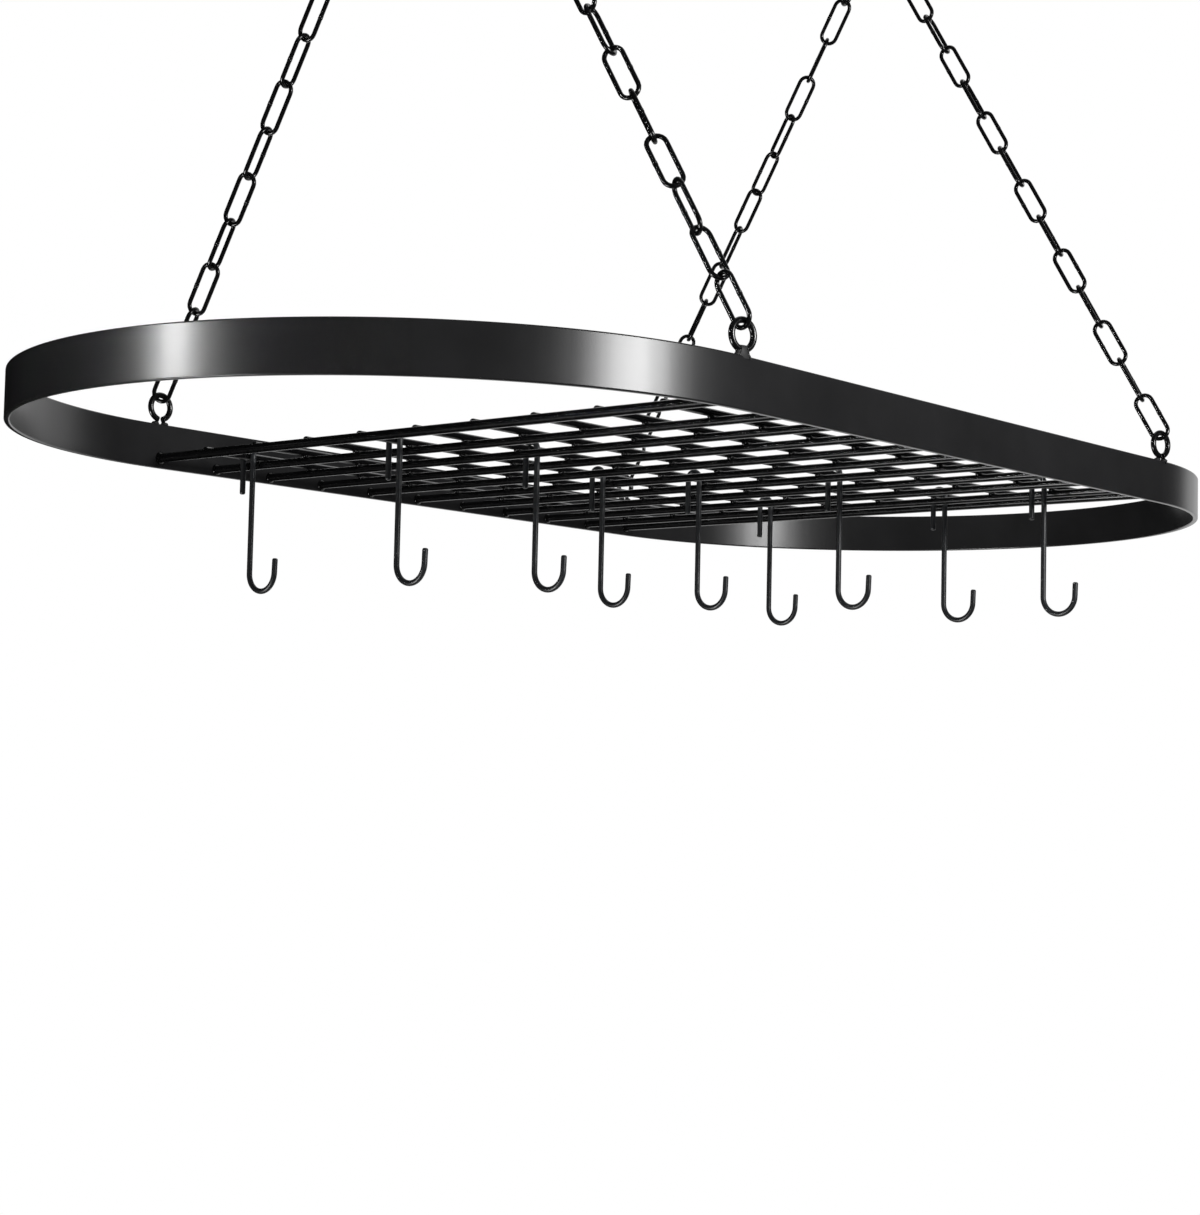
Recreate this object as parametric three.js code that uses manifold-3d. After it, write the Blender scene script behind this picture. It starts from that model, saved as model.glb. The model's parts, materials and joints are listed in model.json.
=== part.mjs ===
// Hanging pot rack: a flat steel band bent to a long oval, a welded grid of bars and wires inside it,
// S-hooks on the wires, and four link chains that run up to two screw hooks in the ceiling.
//
// Millimetres, +Z up. X runs along the oval, Y across it. The origin lies on the ceiling, midway
// between the two screw hooks, so the whole rack hangs below z = 0 and only the screws rise above it.
import * as THREE from 'three';
import { mergeVertices } from 'three/addons/utils/BufferGeometryUtils.js';
import Module from 'manifold-3d';

const wasm = await Module();
wasm.setup();

// ---------------------------------------------------------------- driving dimensions

const RACK_LENGTH = 838;
const RACK_WIDTH = 416;
const BAND_HEIGHT = 25.4;
const BAND_THICKNESS = 3;

const END_BAR_DIAMETER = 5.2;
const CROSS_BAR_DIAMETER = 4.5;
const CROSS_BAR_COUNT = 9;
const CROSS_BAR_RISE = 3.9; // bar axis above the band's lower edge
const END_BAR_LIFT = 1.9; // end bar axis above the cross bars' axes

const LONG_WIRE_DIAMETER = 4;
const LONG_WIRE_COUNT = 9;
const GRID_SHIFT = 7; // the wires sit this much nearer the far side of the band

const EYELET_WIRE = 3.3;
const EYELET_RADIUS = 7; // to the wire's centre
const EYELET_NECK = 2.8; // the ring's lowest wire centre above the band's upper edge
const EYELET_MOUTH = 22; // degrees of the ring left open on each side of its lowest point
const EYELET_SPLAY = 0.8; // how far each foot stands outside the ring's mouth
const EYELET_FOOT_SHARE = 0.45; // upright part of each foot, as a share of the mouth's height

const LINK_WIRE = 2.5;
const LINK_INNER_LENGTH = 27.6;
const LINK_INNER_WIDTH = 7.5;
const TOP_LINK_GAP = 0.5; // between the two top links, side by side in the ceiling hook

const CEILING_HOOK_WIRE = 4.5;
const CEILING_HOOK_RADIUS = 10; // bowl, to the wire's centre
const CEILING_HOOK_NECK = 8; // straight shank below the ceiling
const CEILING_HOOK_DROP = 36; // bowl's lowest wire centre below the ceiling
const CEILING_HOOK_LIP = 15; // degrees that the bowl's free end rises past level
const SCREW_LENGTH = 28;
const SCREW_POINT = 7;
const SCREW_ROOT_SHARE = 0.9; // where the point starts, as a share of the wire's radius

const HOOK_WIRE = 3.2;
const HOOK_LENGTH = 85; // overall
const HOOK_PLAY = 0.5; // round the long wire that it hangs on
const HOOK_SHORT_LEG = 27; // from the hook's top to the short leg's end
const HOOK_BOWL_RADIUS = 10.4; // to the wire's centre
const HOOK_TIP = 8.4;
const HOOK_TIP_LEAN = 2; // degrees outwards

const SEAT_GAP = 0.3; // between pieces that touch
const CHAIN_SEAT_GAP = 0.45; // wider, because linked rings lie turned to each other
const LINK_BITE = 0.3; // how far joined links press into each other

// Each hook hangs on one long wire, counted from the near side, and its place along the rack is
// counted in bays between the bars, from the left end bar.
const HOOK_PLACES = [
  { wire: 9, bay: 0.86 },
  { wire: 6, bay: 0.73 },
  { wire: 5, bay: 2.28 },
  { wire: 6, bay: 4.79 },
  { wire: 5, bay: 5.75 },
  { wire: 6, bay: 8.83 },
  { wire: 3, bay: 6.4 },
  { wire: 3, bay: 9.15 },
  { wire: 1, bay: 8.61 },
];

// A chain's lowest link is turned `turn` degrees about the chain from the plane across the rack.
// From there to the top link the chain makes `halfTurns` half turns. The eyelets were set by hand,
// so the near ones stand `eyeletTurn` degrees off the line of the band.
const CHAINS = [
  { name: 'chain_left_near', side: -1, across: -1, turn: -9, halfTurns: 6, eyeletTurn: -10 },
  { name: 'chain_left_far', side: -1, across: 1, turn: 24, halfTurns: 7, eyeletTurn: 0 },
  { name: 'chain_right_near', side: 1, across: -1, turn: 15, halfTurns: 7, eyeletTurn: -10 },
  { name: 'chain_right_far', side: 1, across: 1, turn: 10, halfTurns: 6, eyeletTurn: 0 },
];

// Links in each solid of a chain, from the eyelet up: the end links are free, those between are joined.
const LINK_GROUPS = [1, 4, 3, 3, 3, 1];

// ---------------------------------------------------------------- worked-out sizes

const rimRadius = RACK_WIDTH / 2;
const straightLength = RACK_LENGTH - RACK_WIDTH;
const rimMiddle = rimRadius - BAND_THICKNESS / 2;
const innerHalfWidth = rimRadius - BAND_THICKNESS;

const barPitch = straightLength / (CROSS_BAR_COUNT + 1);
const wirePitch = (2 * innerHalfWidth) / (LONG_WIRE_COUNT + 1);
const wireRise = CROSS_BAR_RISE + CROSS_BAR_DIAMETER / 2 + SEAT_GAP + LONG_WIRE_DIAMETER / 2;
const endBarRise = CROSS_BAR_RISE + END_BAR_LIFT;

const eyeletRise = EYELET_RADIUS + EYELET_NECK;
const hookTopRadius = (HOOK_WIRE + LONG_WIRE_DIAMETER) / 2 + HOOK_PLAY;

const linksPerChain = LINK_GROUPS.reduce((sum, count) => sum + count);
const linkBend = (LINK_INNER_WIDTH + LINK_WIRE) / 2;
const linkSpan = LINK_INNER_LENGTH + LINK_WIRE;

// The two top links rest side by side in the ceiling hook's bowl, a little up its slope.
const topLinkOffset = (LINK_WIRE + TOP_LINK_GAP) / 2;
const bowlSeatRadius = CEILING_HOOK_RADIUS - (CEILING_HOOK_WIRE + LINK_WIRE) / 2 - SEAT_GAP;
const bowlSeatRise = CEILING_HOOK_RADIUS - Math.sqrt(bowlSeatRadius ** 2 - topLinkOffset ** 2);
const eyeletSeat = (EYELET_WIRE + LINK_WIRE) / 2 + CHAIN_SEAT_GAP;

const linkTops = chainLinkTops();
const chainLength = linkTops.at(-1) + linkSpan - eyeletSeat;
const chainDrop = Math.sqrt(chainLength ** 2 - rimMiddle ** 2 - topLinkOffset ** 2);

const bandTop = -CEILING_HOOK_DROP - chainDrop - EYELET_RADIUS - eyeletRise;
const bandBottom = bandTop - BAND_HEIGHT;

/** How far below the ceiling hook's bowl each link's top bend lies along the chain, from the top down. */
function chainLinkTops() {
  const tops = [-bowlSeatRise];
  const groupsFromTop = [...LINK_GROUPS].reverse();
  groupsFromTop.forEach((count, group) => {
    for (let i = 0; i < count; i += 1) {
      const lastOfAll = group === groupsFromTop.length - 1 && i === count - 1;
      if (lastOfAll) return;
      const joined = i < count - 1;
      const step = linkSpan - LINK_WIRE + (joined ? LINK_BITE : -CHAIN_SEAT_GAP);
      tops.push(tops.at(-1) + step);
    }
  });
  return tops;
}

// ---------------------------------------------------------------- finishes

const bandPaint = new THREE.MeshStandardMaterial({ color: 0x242424, roughness: 0.42, metalness: 0.7 });
const barPaint = new THREE.MeshStandardMaterial({ color: 0x1c1c1d, roughness: 0.5, metalness: 0.6 });
const hookPaint = new THREE.MeshStandardMaterial({ color: 0x2c2e31, roughness: 0.48, metalness: 0.6 });
const chainFinish = new THREE.MeshStandardMaterial({ color: 0x161617, roughness: 0.3, metalness: 0.8 });

// ---------------------------------------------------------------- wire, bar and solid helpers

/** A wire's centre line, with a section only at the stations that it is given. */
class WireLine extends THREE.Curve {
  constructor(stations) {
    super();
    this.stations = stations;
  }

  getPointAt(share, target = new THREE.Vector3()) {
    const place = share * (this.stations.length - 1);
    const index = Math.min(Math.floor(place + 1e-6), this.stations.length - 2);
    const next = this.stations[index + 1].point;
    return target.copy(this.stations[index].point).lerp(next, place - index);
  }

  getTangentAt(share, target = new THREE.Vector3()) {
    const index = Math.round(share * (this.stations.length - 1));
    return target.copy(this.stations[index].tangent);
  }
}

/** One station in the plane of `across` and `up`. */
function station(plane, h, v, tangentH, tangentV) {
  const at = (a, b) => plane.across.clone().multiplyScalar(a).addScaledVector(plane.up, b);
  return { point: at(h, v), tangent: at(tangentH, tangentV).normalize() };
}

/** Stations round a bend, from one angle to another in degrees. */
function bend(plane, centre, radius, from, to, steps) {
  const way = Math.sign(to - from);
  return Array.from({ length: steps + 1 }, (_, i) => {
    const angle = THREE.MathUtils.degToRad(from + ((to - from) * i) / steps);
    const c = Math.cos(angle);
    const s = Math.sin(angle);
    return station(plane, centre[0] + radius * c, centre[1] + radius * s, -s * way, c * way);
  });
}

/** A round section of a wire, as a polygon with `sides` corners. */
function roundSection(radius, sides) {
  const corners = Array.from({ length: sides }, (_, i) => {
    const angle = ((i + 0.5) / sides) * 2 * Math.PI;
    return new THREE.Vector2(radius * Math.cos(angle), radius * Math.sin(angle));
  });
  return new THREE.Shape(corners);
}

/** An open wire with two flat ends. */
function bentWire(stations, diameter, sides) {
  const line = new WireLine(stations);
  const steps = stations.length - 1;
  return new THREE.ExtrudeGeometry(roundSection(diameter / 2, sides), { steps, extrudePath: line });
}

/** A straight round bar along X or Y. */
function straightBar(diameter, length, axis, sides) {
  const bar = new THREE.CylinderGeometry(diameter / 2, diameter / 2, length, sides);
  if (axis === 'x') bar.rotateZ(Math.PI / 2);
  return bar;
}

function toSolid(geometry) {
  const bare = geometry.clone();
  bare.deleteAttribute('normal');
  bare.deleteAttribute('uv');
  const welded = mergeVertices(bare, 1e-4);
  const mesh = new wasm.Mesh({
    numProp: 3,
    vertProperties: new Float32Array(welded.attributes.position.array),
    triVerts: new Uint32Array(welded.index.array),
  });
  return new wasm.Manifold(mesh);
}

function toGeometry(solid) {
  const { vertProperties, triVerts } = solid.getMesh();
  const geometry = new THREE.BufferGeometry();
  geometry.setAttribute('position', new THREE.BufferAttribute(vertProperties, 3));
  geometry.setIndex(new THREE.BufferAttribute(triVerts, 1));
  geometry.computeVertexNormals();
  return geometry;
}

/** One solid of touching pieces, with any sliver of air between two pressed faces filled. */
function join(...geometries) {
  const whole = geometries.map(toSolid).reduce((sum, next) => sum.add(next));
  const shells = whole.decompose();
  return toGeometry(shells.reduce((outer, shell) => (shell.volume() > outer.volume() ? shell : outer)));
}

function piece(name, geometry, material) {
  const mesh = new THREE.Mesh(geometry, material);
  mesh.name = name;
  return mesh;
}

const ACROSS_RACK = { across: new THREE.Vector3(0, 1, 0), up: new THREE.Vector3(0, 0, 1) };
const ALONG_RACK = { across: new THREE.Vector3(1, 0, 0), up: new THREE.Vector3(0, 0, 1) };

// ---------------------------------------------------------------- rim band

/** A long oval: two straight sides and two round ends. */
function ovalOutline(radius, outline) {
  const half = straightLength / 2;
  outline.moveTo(-half, -radius);
  outline.lineTo(half, -radius);
  outline.absarc(half, 0, radius, -Math.PI / 2, Math.PI / 2, false);
  outline.lineTo(-half, radius);
  outline.absarc(-half, 0, radius, Math.PI / 2, (3 * Math.PI) / 2, false);
  return outline;
}

function rimBand() {
  const oval = ovalOutline(rimRadius, new THREE.Shape());
  oval.holes.push(ovalOutline(innerHalfWidth, new THREE.Path()));
  return new THREE.ExtrudeGeometry(oval, { depth: BAND_HEIGHT, bevelEnabled: false, curveSegments: 28 });
}

// ---------------------------------------------------------------- grid

function crossBars() {
  const length = 2 * (innerHalfWidth - SEAT_GAP);
  return Array.from({ length: CROSS_BAR_COUNT }, (_, i) => {
    const bar = piece(`cross_bar_${i + 1}`, straightBar(CROSS_BAR_DIAMETER, length, 'y', 12), barPaint);
    bar.position.set(barPlace(i + 1), 0, CROSS_BAR_RISE);
    return bar;
  });
}

function endBars() {
  const length = 2 * (innerHalfWidth - SEAT_GAP);
  return [-1, 1].map((side) => {
    const name = side < 0 ? 'end_bar_left' : 'end_bar_right';
    const bar = piece(name, straightBar(END_BAR_DIAMETER, length, 'y', 16), barPaint);
    bar.position.set((side * straightLength) / 2, 0, endBarRise);
    return bar;
  });
}

/** Long wires lie on the cross bars, and their ends butt against the end bars' upper flanks. */
function longWires() {
  const endBarRadius = END_BAR_DIAMETER / 2;
  const footAboveBar = wireRise - LONG_WIRE_DIAMETER / 2 - endBarRise;
  const flank = Math.sqrt(Math.max(endBarRadius ** 2 - footAboveBar ** 2, 0)) + SEAT_GAP;
  const length = straightLength - 2 * flank;
  return Array.from({ length: LONG_WIRE_COUNT }, (_, i) => {
    const wire = piece(`long_wire_${i + 1}`, straightBar(LONG_WIRE_DIAMETER, length, 'x', 12), barPaint);
    wire.position.set(0, wirePlace(i + 1), wireRise);
    return wire;
  });
}

/** Where a wire, counted from the near side, lies across the rack. */
function wirePlace(number) {
  return number * wirePitch - innerHalfWidth + GRID_SHIFT;
}

/** Where a bar, counted from the left end bar, lies along the rack. */
function barPlace(number) {
  return number * barPitch - straightLength / 2;
}

// ---------------------------------------------------------------- eyelets

/** A ring of wire, open below, whose two ends turn down on to the band's upper edge. */
function eyelet() {
  const flare = THREE.MathUtils.degToRad(EYELET_MOUTH);
  const mouthHeight = eyeletRise - EYELET_RADIUS * Math.cos(flare);
  const footPlace = EYELET_RADIUS * Math.sin(flare) + EYELET_SPLAY;
  const ring = bend(ALONG_RACK, [0, eyeletRise], EYELET_RADIUS, 270 + EYELET_MOUTH, 630 - EYELET_MOUTH, 14);
  const foot = (side, way) => [
    station(ALONG_RACK, side * footPlace, SEAT_GAP, 0, way),
    station(ALONG_RACK, side * footPlace, mouthHeight * EYELET_FOOT_SHARE, 0, way),
  ];
  const lastFoot = foot(-1, -1).reverse();
  return bentWire([...foot(1, 1), ...ring, ...lastFoot], EYELET_WIRE, 8);
}

function eyelets() {
  return CHAINS.map((chain) => {
    const ring = piece(chain.name.replace('chain', 'eyelet'), eyelet(), chainFinish);
    ring.position.set((chain.side * straightLength) / 2, chain.across * rimMiddle, BAND_HEIGHT);
    ring.rotation.z = THREE.MathUtils.degToRad(chain.eyeletTurn);
    return ring;
  });
}

// ---------------------------------------------------------------- S-hooks

/** A long S-hook: narrow bend over the wire, straight shank, wide open bowl below. */
function hookStations() {
  const bowlHeight = hookTopRadius + HOOK_WIRE - HOOK_LENGTH + HOOK_BOWL_RADIUS;
  const bowlCentre = [-hookTopRadius - HOOK_BOWL_RADIUS, bowlHeight];
  const legEnd = hookTopRadius + HOOK_WIRE / 2 - HOOK_SHORT_LEG;
  const bowl = bend(ACROSS_RACK, bowlCentre, HOOK_BOWL_RADIUS, 0, HOOK_TIP_LEAN - 180, 8);
  const last = bowl.at(-1);
  const tip = last.point.clone().addScaledVector(last.tangent, HOOK_TIP);
  return [
    station(ACROSS_RACK, hookTopRadius, legEnd, 0, 1),
    ...bend(ACROSS_RACK, [0, 0], hookTopRadius, 0, 180, 6),
    ...bowl,
    { point: tip, tangent: last.tangent },
  ];
}

function hooks() {
  return HOOK_PLACES.map(({ wire, bay }, i) => {
    const hook = piece(`s_hook_${i + 1}`, bentWire(hookStations(), HOOK_WIRE, 8), hookPaint);
    hook.position.set(barPlace(bay), wirePlace(wire), wireRise - HOOK_PLAY + SEAT_GAP);
    return hook;
  });
}

// ---------------------------------------------------------------- chains

/** A closed link in the plane of X and Z, with its top bend's centre line at the origin. */
function chainLink() {
  const halfBend = 2;
  const rising = bend(ALONG_RACK, [0, -linkBend], linkBend, 0, 90, halfBend);
  const falling = bend(ALONG_RACK, [0, -linkBend], linkBend, 90, 180, halfBend);
  const lower = bend(ALONG_RACK, [0, linkBend - linkSpan], linkBend, 180, 360, 2 * halfBend);
  const stations = [...falling, ...lower, ...rising];
  return new THREE.TubeGeometry(new WireLine(stations), stations.length - 1, LINK_WIRE / 2, 6, true);
}

/** Link `number`, counted from the eyelet, in the chain's own frame: Z runs up the chain. */
function placedLink(chain, number) {
  const share = (number - 1) / (linksPerChain - 1);
  const turn = chain.turn + share * (180 * chain.halfTurns - chain.turn) + 90;
  const link = chainLink();
  link.rotateZ(THREE.MathUtils.degToRad(turn));
  link.translate(0, 0, -linkTops[linksPerChain - number]);
  return link;
}

/** One chain, hung beside the other in the ceiling hook and leaning out to its eyelet. */
function hangingChain(chain) {
  const group = new THREE.Group();
  const lastGroup = LINK_GROUPS.length - 1;
  let number = 1;
  LINK_GROUPS.forEach((count, i) => {
    const links = Array.from({ length: count }, (_, k) => placedLink(chain, number + k));
    const ends = { 0: 'bottom_link', [lastGroup]: 'top_link' };
    const name = `${chain.name}_${ends[i] ?? `links_${i}`}`;
    group.add(piece(name, count > 1 ? join(...links) : links[0], chainFinish));
    number += count;
  });
  const aside = chain.across * topLinkOffset;
  const upChain = new THREE.Vector3(aside, -chain.across * rimMiddle, chainDrop).normalize();
  group.position.set((chain.side * straightLength) / 2 + aside, 0, -CEILING_HOOK_DROP);
  group.quaternion.setFromUnitVectors(new THREE.Vector3(0, 0, 1), upChain);
  return group;
}

// ---------------------------------------------------------------- ceiling hooks

/** A screw hook: pointed screw in the ceiling, short neck, and an open bowl right below the neck. */
function ceilingHook() {
  const radius = CEILING_HOOK_WIRE / 2;
  const centre = CEILING_HOOK_RADIUS - CEILING_HOOK_DROP;
  const slope = THREE.MathUtils.radToDeg(Math.asin(CEILING_HOOK_RADIUS / (-CEILING_HOOK_NECK - centre)));
  const neckLean = THREE.MathUtils.degToRad(slope / 2);
  const bowl = bend(ALONG_RACK, [0, centre], CEILING_HOOK_RADIUS, slope, -180 - CEILING_HOOK_LIP, 14);
  const stations = [
    station(ALONG_RACK, 0, SCREW_LENGTH - SCREW_POINT, 0, -1),
    station(ALONG_RACK, 0, -CEILING_HOOK_NECK, Math.sin(neckLean), -Math.cos(neckLean)),
    ...bowl,
  ];
  const rootRadius = radius * SCREW_ROOT_SHARE;
  const sunkIntoShank = 1;
  const point = new THREE.LatheGeometry(
    [
      new THREE.Vector2(0, -sunkIntoShank),
      new THREE.Vector2(rootRadius, -sunkIntoShank),
      new THREE.Vector2(rootRadius, 0),
      new THREE.Vector2(0, SCREW_POINT),
    ],
    10,
  );
  point.rotateX(Math.PI / 2);
  point.translate(0, 0, SCREW_LENGTH - SCREW_POINT);
  return join(bentWire(stations, CEILING_HOOK_WIRE, 10), point);
}

function ceilingHooks() {
  return [-1, 1].map((side) => {
    const name = side < 0 ? 'ceiling_hook_left' : 'ceiling_hook_right';
    const hook = piece(name, ceilingHook(), chainFinish);
    hook.position.x = (side * straightLength) / 2;
    return hook;
  });
}

// ---------------------------------------------------------------- assembly

const rack = new THREE.Group();
rack.position.z = bandBottom;
rack.add(piece('rim_band', rimBand(), bandPaint));
rack.add(...endBars(), ...crossBars(), ...longWires(), ...eyelets(), ...hooks());

const potRack = new THREE.Group();
potRack.add(rack, ...CHAINS.map(hangingChain), ...ceilingHooks());

export default potRack;
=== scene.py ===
"""Finishes a hanging pot rack: an oval band of flat bar round a welded grid of bars and wires,
S-hooks on the wires, and link chains from two screw hooks in the ceiling.

Lengths are metres. X runs along the oval, Y across it, and the ceiling is at z = 0."""
import json
import math
import random

import bmesh
import bpy
from bpy.props import FloatProperty, FloatVectorProperty, IntProperty, PointerProperty
from mathutils import Matrix, Vector


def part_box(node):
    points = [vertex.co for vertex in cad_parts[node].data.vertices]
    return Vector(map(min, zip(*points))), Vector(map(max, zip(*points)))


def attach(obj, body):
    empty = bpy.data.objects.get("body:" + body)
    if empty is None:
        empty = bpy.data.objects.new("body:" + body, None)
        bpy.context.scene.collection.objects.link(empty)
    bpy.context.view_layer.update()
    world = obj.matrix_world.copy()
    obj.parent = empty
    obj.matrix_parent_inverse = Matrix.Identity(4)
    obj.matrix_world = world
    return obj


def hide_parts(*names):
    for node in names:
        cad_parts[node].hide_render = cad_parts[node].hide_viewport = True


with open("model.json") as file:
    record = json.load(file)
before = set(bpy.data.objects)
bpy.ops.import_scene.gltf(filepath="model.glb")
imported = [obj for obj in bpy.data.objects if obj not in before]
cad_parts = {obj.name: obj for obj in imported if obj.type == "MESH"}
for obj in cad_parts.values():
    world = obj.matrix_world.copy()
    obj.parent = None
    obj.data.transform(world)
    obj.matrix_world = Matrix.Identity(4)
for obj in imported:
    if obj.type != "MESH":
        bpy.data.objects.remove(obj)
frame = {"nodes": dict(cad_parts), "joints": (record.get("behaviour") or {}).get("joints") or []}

bl_info = {
    "name": "Hanging Pot Rack",
    "version": (1, 0, 0),
    "blender": (4, 5, 0),
    "location": "View3D > Sidebar > Pot Rack",
    "description": "Models and finishes the pieces of an oval hanging pot rack",
    "category": "Add Mesh",
}

MM = 0.001
X, Y, Z = Vector((1, 0, 0)), Vector((0, 1, 0)), Vector((0, 0, 1))

# ---------------------------------------------------------------- what the frame gives

BAND_LOW, BAND_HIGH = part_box("rim_band")
END_RADIUS = BAND_HIGH.y
STRAIGHT_HALF = BAND_HIGH.x - END_RADIUS  # the round ends' centres, and the end bars', lie here
JOINTS = {joint["name"]: joint for joint in frame["joints"]}


def numbered(kind):
    """The frame's nodes of one kind, in the order of their numbers."""
    count = sum(name.startswith(kind) for name in frame["nodes"])
    return [f"{kind}_{number}" for number in range(1, count + 1)]


END_BARS = ("end_bar_left", "end_bar_right")
CROSS_BARS = numbered("cross_bar")
LONG_WIRES = numbered("long_wire")
S_HOOKS = numbered("s_hook")

# Each chain's lowest link is turned so far from the plane across the rack, in degrees, and the top
# link lies in that plane again, so many half turns on. The eyelets are given one by one: the near
# ones stand a little off the line of the band, and one weld is filled in between the ring's feet.
CHAINS = {
    "left_near": {"side": -1, "across": -1, "turn": -9, "half_turns": 6, "eyelet_turn": -10},
    "left_far": {"side": -1, "across": 1, "turn": 24, "half_turns": 7, "eyelet_turn": 0},
    "right_near": {"side": 1, "across": -1, "turn": 15, "half_turns": 7, "eyelet_turn": -10},
    "right_far": {"side": 1, "across": 1, "turn": 10, "half_turns": 6, "eyelet_turn": 0},
}
FILLED_EYELETS = ("left_near",)

# Links in each part of a chain, from the eyelet up.
LINK_PARTS = {
    "bottom_link": 1,
    "links_1": 4,
    "links_2": 3,
    "links_3": 3,
    "links_4": 3,
    "top_link": 1,
}
LINKS = [part for part, count in LINK_PARTS.items() for _ in range(count)]


def linear(hex_colour):
    """An sRGB colour such as "#232323" as linear red, green and blue."""
    channels = [int(hex_colour[i : i + 2], 16) / 255 for i in (1, 3, 5)]
    return [c / 12.92 if c <= 0.04045 else ((c + 0.055) / 1.055) ** 2.4 for c in channels]


WHITE = (*linear("#ffffff"), 1)


def length(name, description, millimetres):
    """A size in the sidebar."""
    return FloatProperty(
        name=name,
        description=description,
        default=millimetres * MM,
        min=0,
        unit="LENGTH",
        precision=4,
    )


def tilt(name, description, degrees):
    """An angle in the sidebar."""
    return FloatProperty(
        name=name, description=description, default=math.radians(degrees), subtype="ANGLE"
    )


def faces(name, description, number, fewest):
    """A number of faces in the sidebar."""
    return IntProperty(name=name, description=description, default=number, min=fewest)


def paint(name, description, hex_colour):
    """A colour in the sidebar."""
    return FloatVectorProperty(
        name=name,
        description=description,
        default=linear(hex_colour),
        subtype="COLOR",
        min=0,
        max=1,
    )


class RackSizes(bpy.types.PropertyGroup):
    """Sizes of the rack's pieces that the frame doesn't give by itself."""

    band_thickness: length("Band thickness", "Thickness of the flat bar", 3)
    band_edge: length("Band edge", "Rounding of the flat bar's long edges", 0.8)
    bar_collar: length("Bar collar", "How far the weld stands out round a bar's end", 1.1)
    collar_reach: length("Collar reach", "How far that weld runs along the bar", 1.7)
    weld_bead: length("Weld bead", "Radius of the bead where a wire crosses a bar", 1.9)
    eyelet_wire: length("Eyelet wire", "Diameter of the eyelets' wire", 3.3)
    eyelet_radius: length("Eyelet radius", "Radius of the eyelets, to the wire's centre", 7)
    eyelet_neck: length("Eyelet neck", "From the band to the ring's lowest wire centre", 2.8)
    eyelet_splay: length("Eyelet splay", "How far each foot stands outside the ring's mouth", 1.7)
    eyelet_mouth: tilt("Eyelet mouth", "Turn left open each side of the ring's lowest point", 13.5)
    link_wire: length("Link wire", "Diameter of the chain's wire", 2.5)
    link_inner_length: length("Link length", "Least inside length of a link", 27.6)
    link_play: length("Link play", "Room between two links at their bends", 0.05)
    link_inner_width: length("Link width", "Inside width of a link", 7.5)
    top_link_gap: length("Top link gap", "Space between the two top links in a ceiling hook", 0.5)
    link_joint: length("Link joint", "Half length of the pressed butt joint in a link's leg", 1.3)
    hook_wire: length("Hook wire", "Diameter of the S-hooks' wire", 3.2)
    hook_length: length("Hook length", "Overall length of an S-hook", 85)
    hook_play: length("Hook play", "Room between an S-hook's top bend and its wire", 0.5)
    hook_short_leg: length("Hook short leg", "From an S-hook's top to its short leg's end", 27)
    hook_bowl: length("Hook bowl", "Radius of an S-hook's lower bend, to the wire's centre", 10.4)
    hook_tip: length("Hook tip", "Straight end of an S-hook past its lower bend", 8.4)
    hook_lean: tilt("Hook lean", "How far an S-hook's tip leans outwards", 2)
    screw_wire: length("Screw hook wire", "Diameter of the ceiling hooks' wire", 4.5)
    screw_bowl: length("Screw hook bowl", "Radius of a screw hook's bowl, to the wire's centre", 10)
    screw_neck: length("Screw hook neck", "Straight shank below the ceiling", 8)
    screw_drop: length("Screw hook drop", "From the ceiling to the bowl's lowest wire centre", 36)
    screw_length: length("Screw length", "How far the screw goes into the ceiling", 28)
    screw_point: length("Screw point", "Length of the screw's tapered point", 7)
    thread_pitch: length("Thread pitch", "Rise of the screw's thread in one turn", 2.1)
    thread_depth: length("Thread depth", "Depth of the screw's thread", 0.55)
    wire_sides: faces("Wire sides", "Faces round a bar or wire", 24, 8)
    link_sides: faces("Link sides", "Faces round a link's wire", 12, 6)
    end_steps: faces("End steps", "Faces round each end of the oval", 112, 24)


class RackFinishes(bpy.types.PropertyGroup):
    """Colours of the rack's finishes."""

    band_lacquer: paint("Band lacquer", "Satin black lacquer on the flat bar", "#202021")
    bar_lacquer: paint("Bar lacquer", "Satin black lacquer on the bars and wires", "#0a0a0b")
    hook_coating: paint("Hook coating", "Charcoal coating on the S-hooks", "#212326")
    chain_coating: paint("Chain coating", "Gloss black coating on chains and eyelets", "#0e0e0f")
    floor_colour: paint("Floor colour", "Matt pale floor", "#e6e6e4")


# ---------------------------------------------------------------- wires, grown section by section


def sizes():
    """The sizes set in the sidebar."""
    return bpy.context.scene.pot_rack_sizes


def finishes():
    """The colours set in the sidebar."""
    return bpy.context.scene.pot_rack_finishes


def in_order(items):
    """The items without repeats, in the order they come in."""
    return list(dict.fromkeys(items))


def only(items, kind):
    """The items of one kind, in the order they come in."""
    return [item for item in items if isinstance(item, kind)]


def corners(loop):
    """The vertices of a loop of edges."""
    return in_order(vert for edge in loop for vert in edge.verts)


def section(bm, radius, sides, at, along):
    """A round section of a wire: a loop of edges round `at` that faces `along`."""
    facing = Z.rotation_difference(Vector(along)).to_matrix().to_4x4()
    matrix = Matrix.Translation(at) @ facing
    verts = bmesh.ops.create_circle(bm, radius=radius, segments=sides, matrix=matrix)["verts"]
    return in_order(edge for vert in verts for edge in vert.link_edges)


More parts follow.
